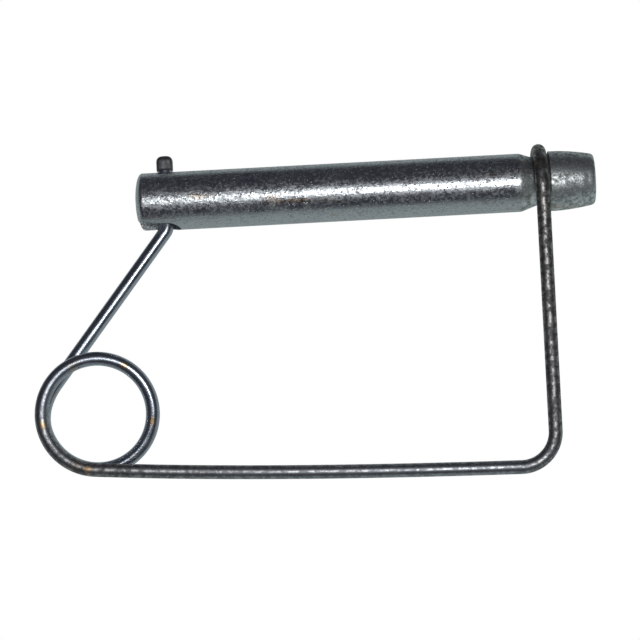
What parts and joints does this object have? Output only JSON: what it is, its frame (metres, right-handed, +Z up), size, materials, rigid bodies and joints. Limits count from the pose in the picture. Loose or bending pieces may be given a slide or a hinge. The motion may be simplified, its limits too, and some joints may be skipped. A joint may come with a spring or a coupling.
{
  "type": "hitch pin lock",
  "caption": "Plated steel hitch pin with a spring-wire lock: the wire passes through the head, coils into a finger ring, runs under the pin and hooks over a groove near the nose.",
  "frame": {"origin": "centre of the pin's flat head end face, on the pin's axis", "axes": "+X along the pin from the head to the nose, +Z up, away from the wire's run; the coil and the arm of the wire are on the -Y side"},
  "size_m": [0.1547, 0.0244, 0.0914],
  "materials": {
    "pin_plate": "satin zinc plate with fine turning marks and scuffs",
    "wire_plate": "bright zinc plate, slightly mottled"
  },
  "bodies": {
    "pin": {"hitch_pin": "pin_plate"},
    "wire_anchor": {"anchor_leg": "wire_plate", "finger_coil": "wire_plate"},
    "spring_arm": {"lower_run": "wire_plate", "upright": "wire_plate", "latch_hook": "wire_plate"}
  },
  "joints": [
    {"name": "leg_rock", "type": "hinge", "parent": "pin", "child": "wire_anchor", "pos_m": [0.0082, 0, 0], "axis": [0, -1, 0], "range_deg": [0, 1.5]},
    {"name": "coil_flex", "type": "hinge", "parent": "wire_anchor", "child": "spring_arm", "pos_m": [-0.01295, -0.0103, -0.0567], "axis": [0, -1, 0], "range_deg": [0, 12], "stiffness_Nm_per_rad": 15.6, "springref_deg": -5.73}
  ]
}
